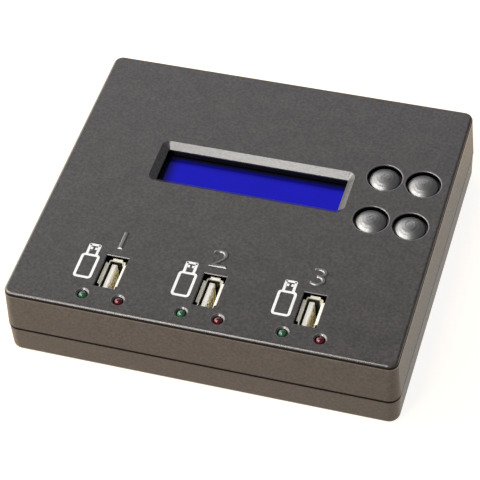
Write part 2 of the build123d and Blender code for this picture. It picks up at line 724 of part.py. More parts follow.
def memory_chip():
    """Small chip on two rows of flat legs."""
    body = chip_body(MEMORY_SIZE, MEMORY_H)
    for i in range(MEMORY_LEGS):
        leg_y = (i - (MEMORY_LEGS - 1) / 2) * MEMORY_LEG_PITCH
        reach = MEMORY_SIZE + 2 * MEMORY_LEG_OUT
        body += block(reach, MEMORY_LEG_W, board_top, board_top + MEMORY_LEG_T, (0, leg_y))
    return Pos(MEMORY_AT[0], MEMORY_AT[1], 0) * body


def crystal():
    """Metal can of the clock crystal, lying on the board."""
    return cut_slab(CRYSTAL_L, CRYSTAL_W, CRYSTAL_W / 4, board_top, board_top + CRYSTAL_H, CRYSTAL_AT)


def capacitors():
    """Three upright aluminium cans on square feet, beside the power jack."""
    cans = []
    for i in range(CAN_COUNT):
        at = (CAN_X + i * CAN_PITCH, can_y)
        base = block(CAN_BASE, CAN_BASE, board_top, board_top + CAN_BASE_H, at)
        cans.append(base + prism(CAN_R, board_top + CAN_BASE_H, board_top + CAN_H, at, LAMP_SIDES))
    return Compound(cans)


def inductor():
    """Square power coil with its corners cut."""
    return cut_slab(COIL_W, COIL_W, COIL_W / 6, board_top, board_top + COIL_H, (COIL_X, can_y))


def pieces():
    """Every node of the object by name."""
    made = {
        "top_cover": top_cover(),
        "bottom_cover": bottom_cover(),
        "case_screws": screw_set(SCREW_R, SCREW_LENGTH, SCREW_HEAD_R, SCREW_HEAD_H, screw_seat, boss_spots),
        "main_board": main_board(),
        "board_screws": screw_set(
            SMALL_SCREW_R, SMALL_SCREW_LENGTH, SMALL_HEAD_R, SMALL_HEAD_H, board_under, post_spots
        ),
        "display_board": display_board(),
        "display_frame": display_frame(),
        "display_glass": display_glass(),
        "display_backlight": display_backlight(),
        "display_surround": display_surround(),
        "display_header": display_header(),
        "display_screws": screw_set(
            TINY_SCREW_R, TINY_SCREW_LENGTH, TINY_HEAD_R, TINY_HEAD_H, carrier_under, carrier_spots
        ),
        "power_jack_housing": power_jack_housing(),
        "power_jack_pin": power_jack_pin(),
        "power_jack_spring": power_jack_spring(),
        "controller_chip": controller_chip(),
        "memory_chip": memory_chip(),
        "crystal": crystal(),
        "capacitors": capacitors(),
        "inductor": inductor(),
    }
    for side, sx in (("left", -1), ("right", 1)):
        made[f"foot_front_{side}"] = foot((sx * foot_x, -foot_y))
        made[f"foot_back_{side}"] = foot((sx * foot_x, foot_y))
    for number, x in enumerate(port_xs, 1):
        made[f"usb_shell_{number}"] = usb_shell(x)
        made[f"usb_insulator_{number}"] = usb_insulator(x)
        made[f"usb_contacts_{number}"] = usb_contacts(x)
        green, red = lamp_spots[2 * number - 2 : 2 * number]
        made[f"green_lamp_{number}"] = lamp(green)
        made[f"red_lamp_{number}"] = lamp(red)
        made[f"green_spacer_{number}"] = lamp_spacer(green)
        made[f"red_spacer_{number}"] = lamp_spacer(red)
    for name, spot in zip(("up", "down", "back", "enter"), key_spots):
        made[f"{name}_key"] = key_cap(spot)
        made[f"{name}_plunger"] = switch_plunger(spot)
        made[f"{name}_switch"] = switch_body(spot)
    return made


os.makedirs("parts", exist_ok=True)
for node, shape in pieces().items():
    export_step(shape, f"parts/{node}.step")
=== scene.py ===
"""Looks of a desktop USB stick duplicator, laid out as a Blender add-on and run as a script.

Lengths are in metres. +X is to the right of someone facing the front, +Y is to the back and +Z is
up. The origin is on the table, under the middle of the case.
"""

from math import asin, cos, pi, radians, sin, sqrt

import bmesh
import bpy
from bpy.props import FloatProperty, FloatVectorProperty, PointerProperty
from mathutils import Matrix, Vector


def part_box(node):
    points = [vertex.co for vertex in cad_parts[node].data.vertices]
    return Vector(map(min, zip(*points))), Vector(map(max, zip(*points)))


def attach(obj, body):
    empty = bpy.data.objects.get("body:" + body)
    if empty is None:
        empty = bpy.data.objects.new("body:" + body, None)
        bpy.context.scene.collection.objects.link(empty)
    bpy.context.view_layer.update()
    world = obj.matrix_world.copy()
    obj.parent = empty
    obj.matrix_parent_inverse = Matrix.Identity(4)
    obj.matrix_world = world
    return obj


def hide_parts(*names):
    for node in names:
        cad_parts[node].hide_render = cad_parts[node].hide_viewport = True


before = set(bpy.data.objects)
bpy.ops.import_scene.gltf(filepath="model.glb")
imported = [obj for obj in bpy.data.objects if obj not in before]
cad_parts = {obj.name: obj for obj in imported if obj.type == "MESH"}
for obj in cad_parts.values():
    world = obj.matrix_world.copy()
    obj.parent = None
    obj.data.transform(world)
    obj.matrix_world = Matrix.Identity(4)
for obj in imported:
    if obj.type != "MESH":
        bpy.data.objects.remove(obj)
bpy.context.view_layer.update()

bl_info = {
    "name": "Stick duplicator looks",
    "version": (1, 0, 0),
    "blender": (4, 5, 0),
    "location": "3D View > Sidebar > Duplicator",
    "description": "Builds the looks of a desktop USB stick duplicator round its engineering model",
    "category": "Object",
}

MM = 0.001
MERGE = 0.002 * MM
PORTS = (1, 2, 3)
KEYS = ("up", "down", "back", "enter")
TURNS = {"up": 0.0, "down": 180.0, "back": 90.0, "enter": 0.0}
CORNERS = ("front_left", "front_right", "back_left", "back_right")
BLACK = (0.0, 0.0, 0.0, 1.0)
WHITE = (1.0, 1.0, 1.0, 1.0)


def screen(red, green, blue):
    """Linear colour of a screen colour whose parts run from 0 to 255."""

    def straighten(part):
        share = part / 255
        return share / 12.92 if share <= 0.04045 else ((share + 0.055) / 1.055) ** 2.4

    return (straighten(red), straighten(green), straighten(blue))


def node_middle(node):
    """Middle of a node's box."""
    low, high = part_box(node)
    return (low + high) / 2


case_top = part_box("top_cover")[1].z
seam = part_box("top_cover")[0].z
socket_middles = {port: node_middle(f"usb_shell_{port}") for port in PORTS}


def length(title, text, millimetres):
    """Length property."""
    size = millimetres * MM
    return FloatProperty(name=title, description=text, default=size, unit="LENGTH", precision=5)


def angle(title, text, degrees):
    """Angle property."""
    return FloatProperty(name=title, description=text, default=radians(degrees), subtype="ANGLE")


def number(title, text, default):
    """Plain number property."""
    return FloatProperty(name=title, description=text, default=default)


def colour(title, text, default):
    """Colour property."""
    return FloatVectorProperty(
        name=title, description=text, default=default, subtype="COLOR", min=0.0, max=1.0
    )


class DuplicatorSizes(bpy.types.PropertyGroup):
    """Sizes that a user would change."""

    key_radius: length("Key radius", "Radius of a domed key", 5.4)
    key_gap: length("Key gap", "Gap between a key and its hole", 0.75)
    key_dome: length("Key dome", "Height of a key's dome above its rim", 2.1)
    key_sink: length("Key sink", "Depth of a key's rim below the top face", 1.2)
    key_edge: length("Key hole edge", "Radius of the edge round a key hole", 0.35)
    key_mark: length("Key mark", "Width of the moulded mark on a key", 4.4)
    key_mark_rise: length("Key mark rise", "Height of the mark above the dome", 0.12)
    number_height: length("Number height", "Height of the raised numbers", 7.8)
    number_rise: length("Number rise", "Height of the numbers above the top face", 0.4)
    number_gap: length("Number gap", "From a socket's middle back to its number's foot", 10.35)
    sign_width: length("Sign width", "Width of the printed stick beside a socket", 6.6)
    sign_length: length("Sign length", "Length of the printed stick", 15.5)
    sign_offset: length("Sign offset", "From a socket's middle to the middle of its sign", 9.2)
    sign_line: length("Sign line", "Width of the printed line", 0.95)
    ink: length("Ink", "Thickness of the printed white", 0.02)
    lip_spread: length("Lip spread", "How far a socket's long lips are bent out", 0.25)
    lamp_radius: length("Lamp radius", "Radius of a signal lamp", 1.5)
    lamp_gap: length("Lamp gap", "Gap between a lamp and its hole", 0.32)
    lamp_rim: length("Lamp rim", "Width and depth of the sloped edge round a lamp", 0.52)
    screw_well_radius: length("Screw well radius", "Inner radius of a screw's well", 2.7)
    screw_head_radius: length("Screw head radius", "Radius of a case screw's head", 2.4)
    screw_head_height: length("Screw head height", "Height of a case screw's head", 2.0)
    window_width: length("Window width", "Width of the opening over the display", 66.2)
    window_depth: length("Window depth", "Front to back of the display's opening", 15.0)
    # The left and back shade widths set how far the display's painted shade reaches.
    shade_left: length("Left shade", "Width of the display's dark left strip", 6.0)
    shade_back: length("Back shade", "Width of the display's dark back strip", 5.0)


class DuplicatorColours(bpy.types.PropertyGroup):
    """Colours that a user would change."""

    case: colour("Case", "Moulded case", screen(67, 64, 64))
    key: colour("Keys", "Domed keys", screen(48, 45, 43))
    sign: colour("Sign", "Printed signs", screen(240, 240, 240))
    display: colour("Display", "Lit blue of the display", screen(12, 9, 178))
    green_lamp: colour("Green lamp", "Green signal lamps", screen(52, 105, 75))
    red_lamp: colour("Red lamp", "Red signal lamps", screen(98, 6, 22))
    socket_steel: colour("Socket steel", "Nickel plate of the sockets", screen(255, 250, 234))
    socket_tongue: colour("Socket tongue", "Ivory tongues of the sockets", screen(253, 250, 238))
    contact: colour("Contacts", "Gold plate of the contacts", screen(245, 222, 140))
    board: colour("Boards", "Solder mask of the boards", screen(26, 88, 46))
    rubber: colour("Feet", "Rubber of the feet", screen(30, 30, 30))


class DuplicatorStage(bpy.types.PropertyGroup):
    """Camera and light."""

    azimuth: angle("Azimuth", "Way round to the camera", 20.004)
    elevation: angle("Elevation", "Height of the camera", 47.91)
    roll: angle("Roll", "Lean of the camera", -4.751)
    distance: length("Distance", "From the aim to the camera", 692.58)
    aim_right: length("Aim right", "Aim, to the right of the origin in the picture", -3.662)
    aim_up: length("Aim up", "Aim, above the origin in the picture", 6.33)
    lens: number("Lens", "Focal length in millimetres", 144.52)
    left_light: number("Left light", "Power of the left softbox in watts", 4.3)
    front_light: number("Front light", "Power of the front softbox in watts", 4.9)
    back_light: number("Back light", "Power of the back softbox in watts", 1.9)
    sky: number("Sky", "Strength of the even light all round", 0.12)
    glow: number("Glow", "Strength of the light low at the left", 2.2)
    floor: colour("Floor", "Pale table", screen(190, 155, 108))


# Nodes


def give(tree, socket, value):
    """Feed a node's input from another node, or set it."""
    if isinstance(value, bpy.types.NodeSocket):
        tree.links.new(value, socket)
    else:
        socket.default_value = value


def fill(tree, node, values):
    """Feed or set several inputs of a node."""
    for title, value in values.items():
        give(tree, node.inputs[title], value)


def add_node(tree, kind, values):
    """New node with several of its inputs fed or set."""
    node = tree.nodes.new(kind)
    fill(tree, node, values)
    return node


def place_in(tree, kind="Object"):
    """Place as a vector."""
    return tree.nodes.new("ShaderNodeTexCoord").outputs[kind]


def coordinates(tree, kind="Object"):
    """Place as a vector, and its three parts."""
    place = place_in(tree, kind)
    return (place, *add_node(tree, "ShaderNodeSeparateXYZ", {"Vector": place}).outputs)


def noise(tree, vector, scale, detail=3.0):
    """Value of a noise texture."""
    values = {"Vector": vector, "Scale": scale, "Detail": detail}
    return add_node(tree, "ShaderNodeTexNoise", values).outputs["Fac"]


def spread(tree, value, low, high, to_low, to_high, soft=False):
    """Map a value from one range to another, held at the ends."""
    node = tree.nodes.new("ShaderNodeMapRange")
    node.interpolation_type = "SMOOTHSTEP" if soft else "LINEAR"
    fill(tree, node, {"Value": value, "From Min": low, "From Max": high})
    fill(tree, node, {"To Min": to_low, "To Max": to_high})
    return node.outputs["Result"]


def calculate(tree, operation, *values):
    """Math node, repeated along several values or numbers."""
    result = values[0]
    for value in values[1:]:
        node = tree.nodes.new("ShaderNodeMath")
        node.operation = operation
        give(tree, node.inputs[0], result)
        give(tree, node.inputs[1], value)
        result = node.outputs["Value"]
    return result


def away_from(tree, value, level=0.0):
    """Distance of a value from a level."""
    return calculate(tree, "ABSOLUTE", calculate(tree, "SUBTRACT", value, level), 0.0)


def mix_colours(tree, share, first, second, blend="MIX"):
    """Mix node on two colours."""
    node = tree.nodes.new("ShaderNodeMix")
    node.data_type = "RGBA"
    node.blend_type = blend
    sockets = {socket.identifier: socket for socket in node.inputs}
    give(tree, sockets["Factor_Float"], share)
    give(tree, sockets["A_Color"], first)
    give(tree, sockets["B_Color"], second)
    return next(socket for socket in node.outputs if socket.identifier == "Result_Color")


def shade(tree, tone, level):
    """Colour made darker or paler by a value."""
    grey = tree.nodes.new("ShaderNodeCombineColor")
    for socket in grey.inputs[:3]:
        tree.links.new(level, socket)
    return mix_colours(tree, 1.0, tone, grey.outputs["Color"], "MULTIPLY")


# Node groups


def shader_group(name, inputs):
    """New node group that puts out a colour, a roughness and a height."""
    kinds = {"Colour": "NodeSocketColor"}
    plain = "NodeSocketFloat"
    group = bpy.data.node_groups.new(name, "ShaderNodeTree")
    sockets = group.interface
    for title, default in inputs.items():
        kind = kinds.get(title, plain)
        sockets.new_socket(name=title, in_out="INPUT", socket_type=kind).default_value = default
    for title in ("Colour", "Roughness", "Height"):
        sockets.new_socket(name=title, in_out="OUTPUT", socket_type=kinds.get(title, plain))
    return group, group.nodes.new("NodeGroupInput").outputs, group.nodes.new("NodeGroupOutput")


def moulded_grain():
    """Cloudy, speckled surface of moulded plastic: colour, roughness and height."""
    found = bpy.data.node_groups.get("moulded_grain")
    if found:
        return found
    inputs = {"Colour": (0.1, 0.1, 0.1, 1.0), "Clouds": 0.1, "Mottle": 0.1, "Specks": 0.1}
    inputs |= {"Smoothest": 0.35, "Roughest": 0.45}
    group, given, out = shader_group("moulded_grain", inputs)

    def vary(value, low, high, share):
        darker = calculate(group, "SUBTRACT", 1.0, share)
        lighter = calculate(group, "ADD", 1.0, share)
        return spread(group, value, low, high, darker, lighter)

    place = place_in(group)
    clouds = noise(group, place, scale=130.0, detail=4.0)
    fine = noise(group, place, scale=1500.0, detail=2.0)
    mottle = noise(group, place, scale=1020.0, detail=2.0)
    dots = noise(group, place, scale=750.0, detail=1.0)
    clouded = vary(clouds, 0.35, 0.65, given["Clouds"])
    mottled = vary(mottle, 0.3, 0.7, given["Mottle"])
    specks = spread(group, dots, 0.7, 0.8, 0.0, given["Specks"])
    level = calculate(group, "ADD", calculate(group, "MULTIPLY", clouded, mottled), specks)
    rough = spread(group, fine, 0.35, 0.65, given["Smoothest"], given["Roughest"])
    tinted = shade(group, given["Colour"], level)
    fill(group, out, {"Colour": tinted, "Roughness": rough, "Height": fine})
    return group


def rolled_metal():
    """Fine lines of rolled or plated sheet: colour, roughness and height."""
    found = bpy.data.node_groups.get("rolled_metal")
    if found:
        return found
    inputs = {"Colour": (0.7, 0.7, 0.7, 1.0), "Stain": 0.15, "Smoothest": 0.2, "Roughest": 0.4}
    group, given, out = shader_group("rolled_metal", inputs)
    place = place_in(group)
    drawn = add_node(group, "ShaderNodeMapping", {"Vector": place, "Scale": (1.0, 1.0, 0.08)})
    lines = noise(group, drawn.outputs["Vector"], scale=3500.0, detail=2.0)
    stain = noise(group, place, scale=400.0)
    darker = calculate(group, "SUBTRACT", 1.0, given["Stain"])
    level = spread(group, stain, 0.3, 0.7, darker, 1.0)
    rough = spread(group, lines, 0.3, 0.7, given["Smoothest"], given["Roughest"])
    tinted = shade(group, given["Colour"], level)
    fill(group, out, {"Colour": tinted, "Roughness": rough, "Height": lines})
    return group


# Materials

coats = {}


def start_material(name):
    """Empty material with a Principled shader on its output."""
    material = bpy.data.materials.new(name)
    coats[name] = material
    material.use_nodes = True
    tree = material.node_tree
    tree.nodes.clear()
    shader = tree.nodes.new("ShaderNodeBsdfPrincipled")
    output = tree.nodes.new("ShaderNodeOutputMaterial")
    tree.links.new(shader.outputs["BSDF"], output.inputs["Surface"])
    return material, tree, shader


def start_finish(name, group, tone, rough, **values):
    """Material with the colour and roughness of a node group; gives the group's outputs too."""
    material, tree, shader = start_material(name)
    node = tree.nodes.new("ShaderNodeGroup")
    node.node_tree = group
    smoothest, roughest = rough
    fill(tree, node, {"Colour": (*tone, 1.0), "Smoothest": smoothest, "Roughest": roughest})
    fill(tree, node, values)
    out = node.outputs
    fill(tree, shader, {"Base Color": out["Colour"], "Roughness": out["Roughness"]})
    return material, tree, shader, out


def raise_surface(tree, shader, height, strength, distance):
    """Bump from a height socket."""
    values = {"Strength": strength, "Distance": distance, "Height": height}
    bump = add_node(tree, "ShaderNodeBump", values)
    fill(tree, shader, {"Normal": bump.outputs["Normal"]})


def let_light_in(tree, shader, weight, depth):
    """Light that spreads under the surface."""
    fill(tree, shader, {"Subsurface Weight": weight, "Subsurface Scale": depth})
    fill(tree, shader, {"Subsurface Radius": (1.0, 1.0, 1.0)})


def plastic(
    name,
    tone,
    clouds=0.06,
    mottle=0.04,
    specks=0.0,
    rough=(0.34, 0.46),
    bump=0.15,
    specular=0.5,
    index=1.5,
    milky=None,
):
    """Moulded plastic. Milky is the weight and depth of the light under its surface."""
    material, tree, shader, grain = start_finish(
        name, moulded_grain(), tone, rough, Clouds=clouds, Mottle=mottle, Specks=specks
    )
    fill(tree, shader, {"Specular IOR Level": specular, "IOR": index})
    if milky:
        let_light_in(tree, shader, *milky)
    raise_surface(tree, shader, grain["Height"], bump, 0.05 * MM)
    return material


def case_finish(name, tone, specular, index):
    """Fine-grained black plastic, polished on its edges. Painted shade darkens its holes and its
    seam gap, and a painted dark reflection runs under its outer top edge.
    """
    material, tree, shader, grain = start_finish(
        name, moulded_grain(), tone, rough=(0.3, 0.4), Clouds=0.08, Mottle=0.35, Specks=0.8
    )
    _, x, y, z = coordinates(tree)
    sideways = away_from(tree, x)
    outward = away_from(tree, y)

    def below_top(full, none, most, least=0.0):
        return spread(tree, z, case_top - full, case_top - none, most, least, soft=True)

    boards_top = 20.0 * MM
    side_wall = 66.0 * MM
    front_wall = 58.0 * MM
    last_hole = 51.0 * MM
    ports_back = -30.0 * MM
    keys_left = 37.0 * MM
    # Painted shade: the walls of the socket slots and key holes are painted black from just under
    # the top face down, where shade falls.
    ports = calculate(tree, "LESS_THAN", y, ports_back)
    keys = calculate(tree, "GREATER_THAN", x, keys_left)
    holes = calculate(
        tree,
        "MULTIPLY",
        calculate(tree, "MAXIMUM", ports, keys),
        calculate(tree, "GREATER_THAN", z, boards_top),
        calculate(tree, "LESS_THAN", sideways, side_wall),
        calculate(tree, "LESS_THAN", outward, last_hole),
        below_top(0.5 * MM, 0.15 * MM, 1.0),
    )
    # Painted shade along the seam gap between the two case halves.
    from_seam = away_from(tree, z, seam - 0.1 * MM)
    joint = spread(tree, from_seam, 0.4 * MM, 0.85 * MM, 0.85, 0.0, soft=True)
    at_front = calculate(tree, "GREATER_THAN", outward, front_wall)
    at_side = calculate(tree, "GREATER_THAN", sideways, side_wall)
    outer = calculate(tree, "MAXIMUM", at_front, at_side)
    # Painted dark reflection: a dark line on the outer walls just under the rounded top edge.
    lower = below_top(1.75 * MM, 1.4 * MM, 0.0, 0.9)
    upper = below_top(0.75 * MM, 0.5 * MM, 1.0)
    line = calculate(tree, "MULTIPLY", lower, upper, outer)
    dark = calculate(tree, "MAXIMUM", holes, joint, line)

    edge = spread(tree, z, case_top - 2.0 * MM, case_top - 1.9 * MM, 0.0, 1.0)
    off_top = spread(tree, away_from(tree, z, case_top), 0.03 * MM, 0.08 * MM, 0.0, 1.0)
    below_faces = calculate(tree, "LESS_THAN", z, case_top + 0.36 * MM)
    outside_painted_shade = calculate(tree, "SUBTRACT", 1.0, dark)
    polish = calculate(tree, "MULTIPLY", edge, off_top, below_faces, outside_painted_shade)

    # Where the painted shade and painted dark reflection are full, the surface is near-black,
    # metallic and rough, so it reflects next to nothing.
    painted_shade_black = (0.004, 0.003, 0.003, 1.0)
    dull = calculate(tree, "MULTIPLY", dark, 0.9)
    values = {
        "Base Color": mix_colours(tree, dark, grain["Colour"], painted_shade_black),
        "Roughness": calculate(tree, "MAXIMUM", grain["Roughness"], dull),
        "Metallic": dark,
        "Coat Weight": polish,
        "Coat Roughness": 0.24,
        "Coat IOR": 1.6,
        "Specular IOR Level": specular,
        "IOR": index,
    }
    fill(tree, shader, values)
    raise_surface(tree, shader, grain["Height"], 0.15, 0.05 * MM)
    return material


def key_finish(key, tone):
    """Shiny black plastic with the fine turned rings of its mould."""
    name = f"key_plastic_{key}"
    material, tree, shader, grain = start_finish(
        name, moulded_grain(), tone, rough=(0.38, 0.46), Clouds=0.1, Mottle=0.1, Specks=0.3
    )
    middle = node_middle(f"{key}_key")
    values = {"Vector": place_in(tree), "Location": (-middle.x, -middle.y, 0.0)}
    centred = add_node(tree, "ShaderNodeMapping", values)
    rings = tree.nodes.new("ShaderNodeTexWave")
    rings.wave_type = "RINGS"
    rings.rings_direction = "Z"
    fill(tree, rings, {"Vector": centred.outputs["Vector"], "Scale": 260.0, "Distortion": 1.5})
    fill(tree, rings, {"Detail": 2.0, "Detail Scale": 1.5})
    level = spread(tree, rings.outputs["Fac"], 0.0, 1.0, 0.75, 1.15)
    values = {
        "Base Color": shade(tree, grain["Colour"], level),
        "Specular IOR Level": 1.0,
        "IOR": 2.2,
        "Coat Weight": 0.6,
        "Coat Roughness": 0.5,
        "Coat IOR": 1.8,
    }
    fill(tree, shader, values)
    raise_surface(tree, shader, rings.outputs["Fac"], 0.8, 0.037 * MM)
    return material


def lamp_lens(name, tone):
    """Clear coloured epoxy with a paler heart."""
    material, tree, shader, grain = start_finish(
        name, moulded_grain(), tone, rough=(0.14, 0.2), Clouds=0.15, Mottle=0.1, Specks=0.0
    )
    fill(tree, shader, {"IOR": 1.5, "Specular IOR Level": 0.5})
    fill(tree, shader, {"Coat Weight": 1.0, "Coat Roughness": 0.12})
    let_light_in(tree, shader, weight=0.3, depth=0.6 * MM)
    raise_surface(tree, shader, grain["Height"], 0.02, 0.02 * MM)
    return material


def metal(name, tone, stain=0.2, rough=(0.2, 0.4), metallic=1.0):
    """Plated or rolled metal."""
    material, tree, shader, grain = start_finish(name, rolled_metal(), tone, rough, Stain=stain)
    fill(tree, shader, {"Metallic": metallic})
    raise_surface(tree, shader, grain["Height"], 0.05, 0.02 * MM)
    return material


def socket_metal(port, tone, mouth):
    """Dull nickel plate, unlit below the socket's mouth where the tongue shades it."""
    material, tree, shader, grain = start_finish(
        f"socket_steel_{port}", rolled_metal(), tone, rough=(0.4, 0.5), Stain=0.15
    )
    _, x, _, z = coordinates(tree)
    depth = spread(tree, z, mouth - 1.3 * MM, mouth - 0.6 * MM, 1.0, 0.0, soft=True)
    right_wall = socket_middles[port].x + 1.5 * MM
    shaded = calculate(tree, "MULTIPLY", depth, calculate(tree, "LESS_THAN", x, right_wall))
    tinted = mix_colours(tree, shaded, grain["Colour"], (0.02, 0.018, 0.015, 1.0))
    fill(tree, shader, {"Base Color": tinted, "Metallic": 0.1})
    raise_surface(tree, shader, grain["Height"], 0.05, 0.02 * MM)
    return material


def board_finish(name, tone):
    """Solder mask with tracks and ground fill under it."""
    material, tree, shader, grain = start_finish(
        name, moulded_grain(), tone, rough=(0.25, 0.4), Clouds=0.12, Mottle=0.05, Specks=0.0
    )
    values = {"Vector": place_in(tree), "Scale": 90.0, "Mortar Size": 0.03, "Color1": WHITE}
    tracks = add_node(tree, "ShaderNodeTexBrick", values)
    fill(tree, tracks, {"Color2": (0.8, 0.8, 0.8, 1.0), "Mortar": (1.6, 1.6, 1.6, 1.0)})
    tinted = mix_colours(tree, 1.0, grain["Colour"], tracks.outputs["Color"], "MULTIPLY")
    fill(tree, shader, {"Base Color": tinted})
    raise_surface(tree, shader, tracks.outputs["Fac"], 0.1, 0.03 * MM)
    return material


def lit_display(tone, sizes):
    """Backlit blue, with painted shade that fades it to black at its left and back edges, under the
    window's walls.
    """
    middle = node_middle("display_surround")
    left = middle.x - sizes.window_width / 2
    back = middle.y + sizes.window_depth / 2
    material, tree, shader = start_material("display_blue")
    place, x, y, _ = coordinates(tree)
    # Painted shade: the blue and its glow fade to black along the left and back edges, where the
    # window's walls shade the display.
    from_left = spread(tree, x, left, left + sizes.shade_left, 0.0, 1.0, soft=True)
    from_back = spread(tree, y, back - sizes.shade_back, back, 1.0, 0.0, soft=True)
    clouds = spread(tree, noise(tree, place, scale=60.0, detail=2.0), 0.3, 0.7, 0.92, 1.05)
    lit = calculate(tree, "MULTIPLY", from_left, from_back, clouds)
    unlit_black = (0.002, 0.002, 0.004, 1.0)
    lit_black = (0.004, 0.004, 0.02, 1.0)
    grain = noise(tree, place, scale=900.0, detail=2.0)
    values = {
        "Base Color": mix_colours(tree, lit, unlit_black, lit_black),
        "Roughness": spread(tree, grain, 0.3, 0.7, 0.1, 0.16),
        "Specular IOR Level": 0.06,
        "Emission Color": mix_colours(tree, lit, BLACK, (*tone, 1.0)),
        "Emission Strength": 1.0,
    }
    fill(tree, shader, values)
    return material


# Shapes


def link(name, data):
    """New object in the scene."""
    thing = bpy.data.objects.new(name, data)
    bpy.context.scene.collection.objects.link(thing)
    return thing


def add_piece(name, shape, coat, body="root", stands_for=(), crease=35.0):
    """Make a mesh object from a bmesh, shade it and tie it to its body."""
    for face in shape.faces:
        face.smooth = True
    for edge in shape.edges:
        edge.smooth = edge.calc_face_angle(pi) < radians(crease)
    mesh = bpy.data.meshes.new(name)
    shape.to_mesh(mesh)
    shape.free()
    mesh.materials.append(coat)
    piece = link(name, mesh)
    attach(piece, body)
    if stands_for:
        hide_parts(*stands_for)
    return piece


def cover_node(node, coat, name):
    """Smoothly shaded copy of a node, which it replaces."""
    shape = bmesh.new()
    shape.from_mesh(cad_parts[node].data)
    bmesh.ops.remove_doubles(shape, verts=shape.verts[:], dist=MERGE)
    piece = add_piece(name, shape, coat, stands_for=(node,), crease=30.0)
    loose_normals = piece.data.attributes.get("custom_normal")
    if loose_normals:
        piece.data.attributes.remove(loose_normals)
    weighted = piece.modifiers.new("flat faces lead", "WEIGHTED_NORMAL")
    weighted.keep_sharp = True
    return piece


def coat_nodes(coat, *nodes):
    """Give nodes their finish."""
    for node in nodes:
        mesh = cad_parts[node].data
        mesh.materials.clear()
        mesh.materials.append(coat)


def new_verts(made):
    """Vertices in the result of a bmesh operator."""
    return [part for part in made["geom"] if isinstance(part, bmesh.types.BMVert)]


def settle(shape, place):
    """Turn a shape's faces outward and move it to its place."""
    bmesh.ops.recalc_face_normals(shape, faces=shape.faces[:])
    bmesh.ops.translate(shape, verts=shape.verts[:], vec=place)
    return shape


def turned_skin(outline, steps, loop=False):
    """Turned skin. The outline is radii and heights, and a loop ends where it starts."""
    shape = bmesh.new()
    verts = [shape.verts.new((radius, 0.0, height)) for radius, height in outline]
    ends = verts[1:] + verts[:1] if loop else verts[1:]
    edges = [shape.edges.new(pair) for pair in zip(verts, ends)]
    bmesh.ops.spin(
        shape,
        geom=verts + edges,
        cent=(0, 0, 0),
        axis=(0, 0, 1),
        angle=2 * pi,
        steps=steps,
        use_merge=True,
    )
    bmesh.ops.remove_doubles(shape, verts=shape.verts[:], dist=MERGE)
    return shape


def lathe(outline, middle, steps, loop=False):
    """Closed turned shape. The outline's ends lie on the axis, or it is a loop."""
    return settle(turned_skin(outline, steps, loop), (middle[0], middle[1], 0.0))


def bend(x, z, radius, start, end, count):
    """Arc round a point of a turned outline, its angles in degrees from the outward direction."""
    turns = [radians(start + (end - start) * step / count) for step in range(count + 1)]
    return [(x + radius * cos(turn), z + radius * sin(turn)) for turn in turns]


def gather(shapes):
    """Join several shapes in one."""
    whole = bmesh.new()
    for shape in shapes:
        passing = bpy.data.meshes.new("passing")
        shape.to_mesh(passing)
        shape.free()
        whole.from_mesh(passing)
        bpy.data.meshes.remove(passing)
    return whole


def hollow_out(shape, line):
    """Leave only a line along the edge of a flat shape."""
    faces = shape.faces[:]
    bmesh.ops.inset_region(
        shape, faces=faces, thickness=line, use_even_offset=True, use_boundary=True
    )
    bmesh.ops.delete(shape, geom=faces, context="FACES")


def round_corners(shape, offset, segments):
    """Round the corners of a flat shape."""
    bmesh.ops.bevel(
        shape, geom=shape.verts[:], offset=offset, segments=segments, profile=0.5, affect="VERTICES"
    )


def rounded_plate(width, depth, corner, line, middle, rise):
    """Thin rounded rectangle, or the frame of one when it has a line width."""
    shape = bmesh.new()
    bmesh.ops.create_grid(shape, x_segments=1, y_segments=1, size=0.5)
    bmesh.ops.scale(shape, vec=(width, depth, 1.0), verts=shape.verts[:])
    round_corners(shape, corner, segments=5)
    if line:
        hollow_out(shape, line)
    grown = bmesh.ops.extrude_face_region(shape, geom=shape.faces[:])
    bmesh.ops.translate(shape, verts=new_verts(grown), vec=(0, 0, rise))
    return settle(shape, middle)


# Operators


class DUPLICATOR_OT_case(bpy.types.Operator):
    """Moulded case halves, with round edges at the key and lamp holes"""

    bl_idname = "duplicator.case"
    bl_label = "Case"

    def execute(self, context):
        sizes = context.scene.duplicator_sizes
        tone = context.scene.duplicator_colours.case
        coat = case_finish("case_plastic", tone, specular=0.55, index=1.5)
        edges = case_finish("case_edges", tone, specular=1.0, index=1.8)
        cover_node("top_cover", coat, "case_top")
        cover_node("bottom_cover", coat, "case_bottom")
        lining = 0.02 * MM
        inner = sizes.key_radius + sizes.key_gap - lining
        soft = sizes.key_edge
        collars = [self.collar(inner, soft, soft, node_middle(f"{key}_key")) for key in KEYS]
        add_piece("key_hole_edges", gather(collars), edges)
        inner = sizes.lamp_radius + sizes.lamp_gap
        soft = 0.06 * MM
        collars = [
            self.collar(inner, sizes.lamp_rim, soft, node_middle(f"{tint}_lamp_{port}"))
            for port in PORTS
            for tint in ("green", "red")
        ]
        add_piece("lamp_hole_edges", gather(collars), edges)
        return {"FINISHED"}

    def collar(self, inner, edge, soft, middle):
        """Thin lining of a round hole, with a rounded or sloped upper edge."""
        proud = 0.01 * MM
        depth = 2.38 * MM
        margin = 0.25 * MM
        top = case_top + proud
        outer = inner + edge + margin
        outline = [(outer, top - 2 * proud), (outer, case_top - depth), (inner, case_top - depth)]
        if soft < edge:
            outline += [(inner, top - edge), (inner + edge - soft, top - soft), (inner + edge, top)]
        else:
            outline += bend(inner + soft, top - soft, soft, 180, 90, 8)
        return lathe(outline, middle, steps=96, loop=True)


